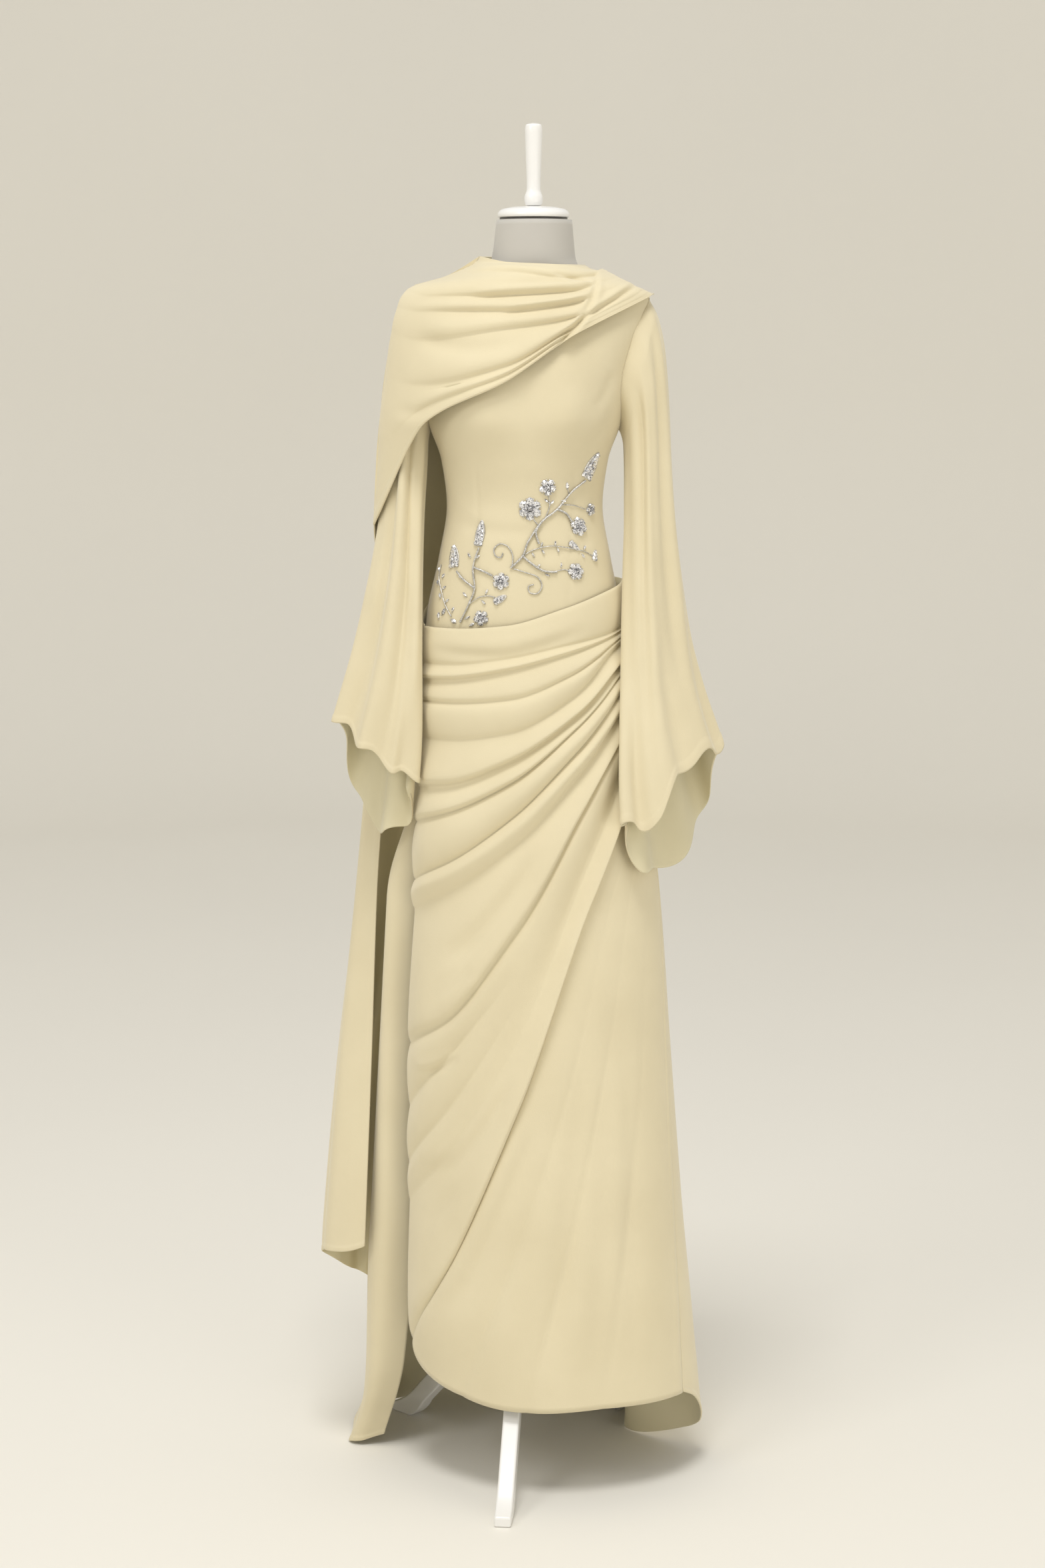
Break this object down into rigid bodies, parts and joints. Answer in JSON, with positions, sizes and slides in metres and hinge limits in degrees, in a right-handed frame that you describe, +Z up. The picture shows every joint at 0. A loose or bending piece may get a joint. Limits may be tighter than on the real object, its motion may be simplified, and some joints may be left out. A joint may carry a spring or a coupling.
{
  "type": "prom dress on a dress form stand",
  "caption": "Full-length draped prom dress with bell sleeves, shoulder cape, side train and vine applique, on a turned-top dress form with a tripod base.",
  "frame": {"origin": "middle of the whole part's box, on the floor", "axes": "+Z up, -Y out of the front of the dress, +X to the wearer's left"},
  "size_m": [0.5632, 0.6022, 1.8824],
  "materials": {
    "cloth": "matte pale butter crepe georgette with a soft sheen",
    "trim": "silver cord, beads and crystals sewn on",
    "form": "pale cloth-covered dress form",
    "gasket": "dark gap ring under the neck cap",
    "stand": "gloss white"
  },
  "bodies": {
    "root": {"bodice_front": "cloth", "bodice_back": "cloth", "sleeve_left": "cloth", "sleeve_right": "cloth", "skirt_front": "cloth", "skirt_back": "cloth", "cape_front": "cloth", "cape_back": "cloth", "vine_lower": "trim", "vine_upper": "trim", "flower_1": "trim", "flower_2": "trim", "flower_3": "trim", "flower_4": "trim", "flower_5": "trim", "flower_6": "trim", "flower_7": "trim", "leaf_1": "trim", "leaf_2": "trim", "leaf_3": "trim", "leaf_4": "trim", "leaf_5": "trim", "leaf_6": "trim", "neck_cap": "stand", "finial": "stand", "stand_pole": "stand", "stand_hub": "stand", "stand_leg_1": "stand", "stand_leg_2": "stand", "stand_leg_3": "stand", "form_torso": "form", "neck_gasket": "gasket"}
  },
  "joints": []
}
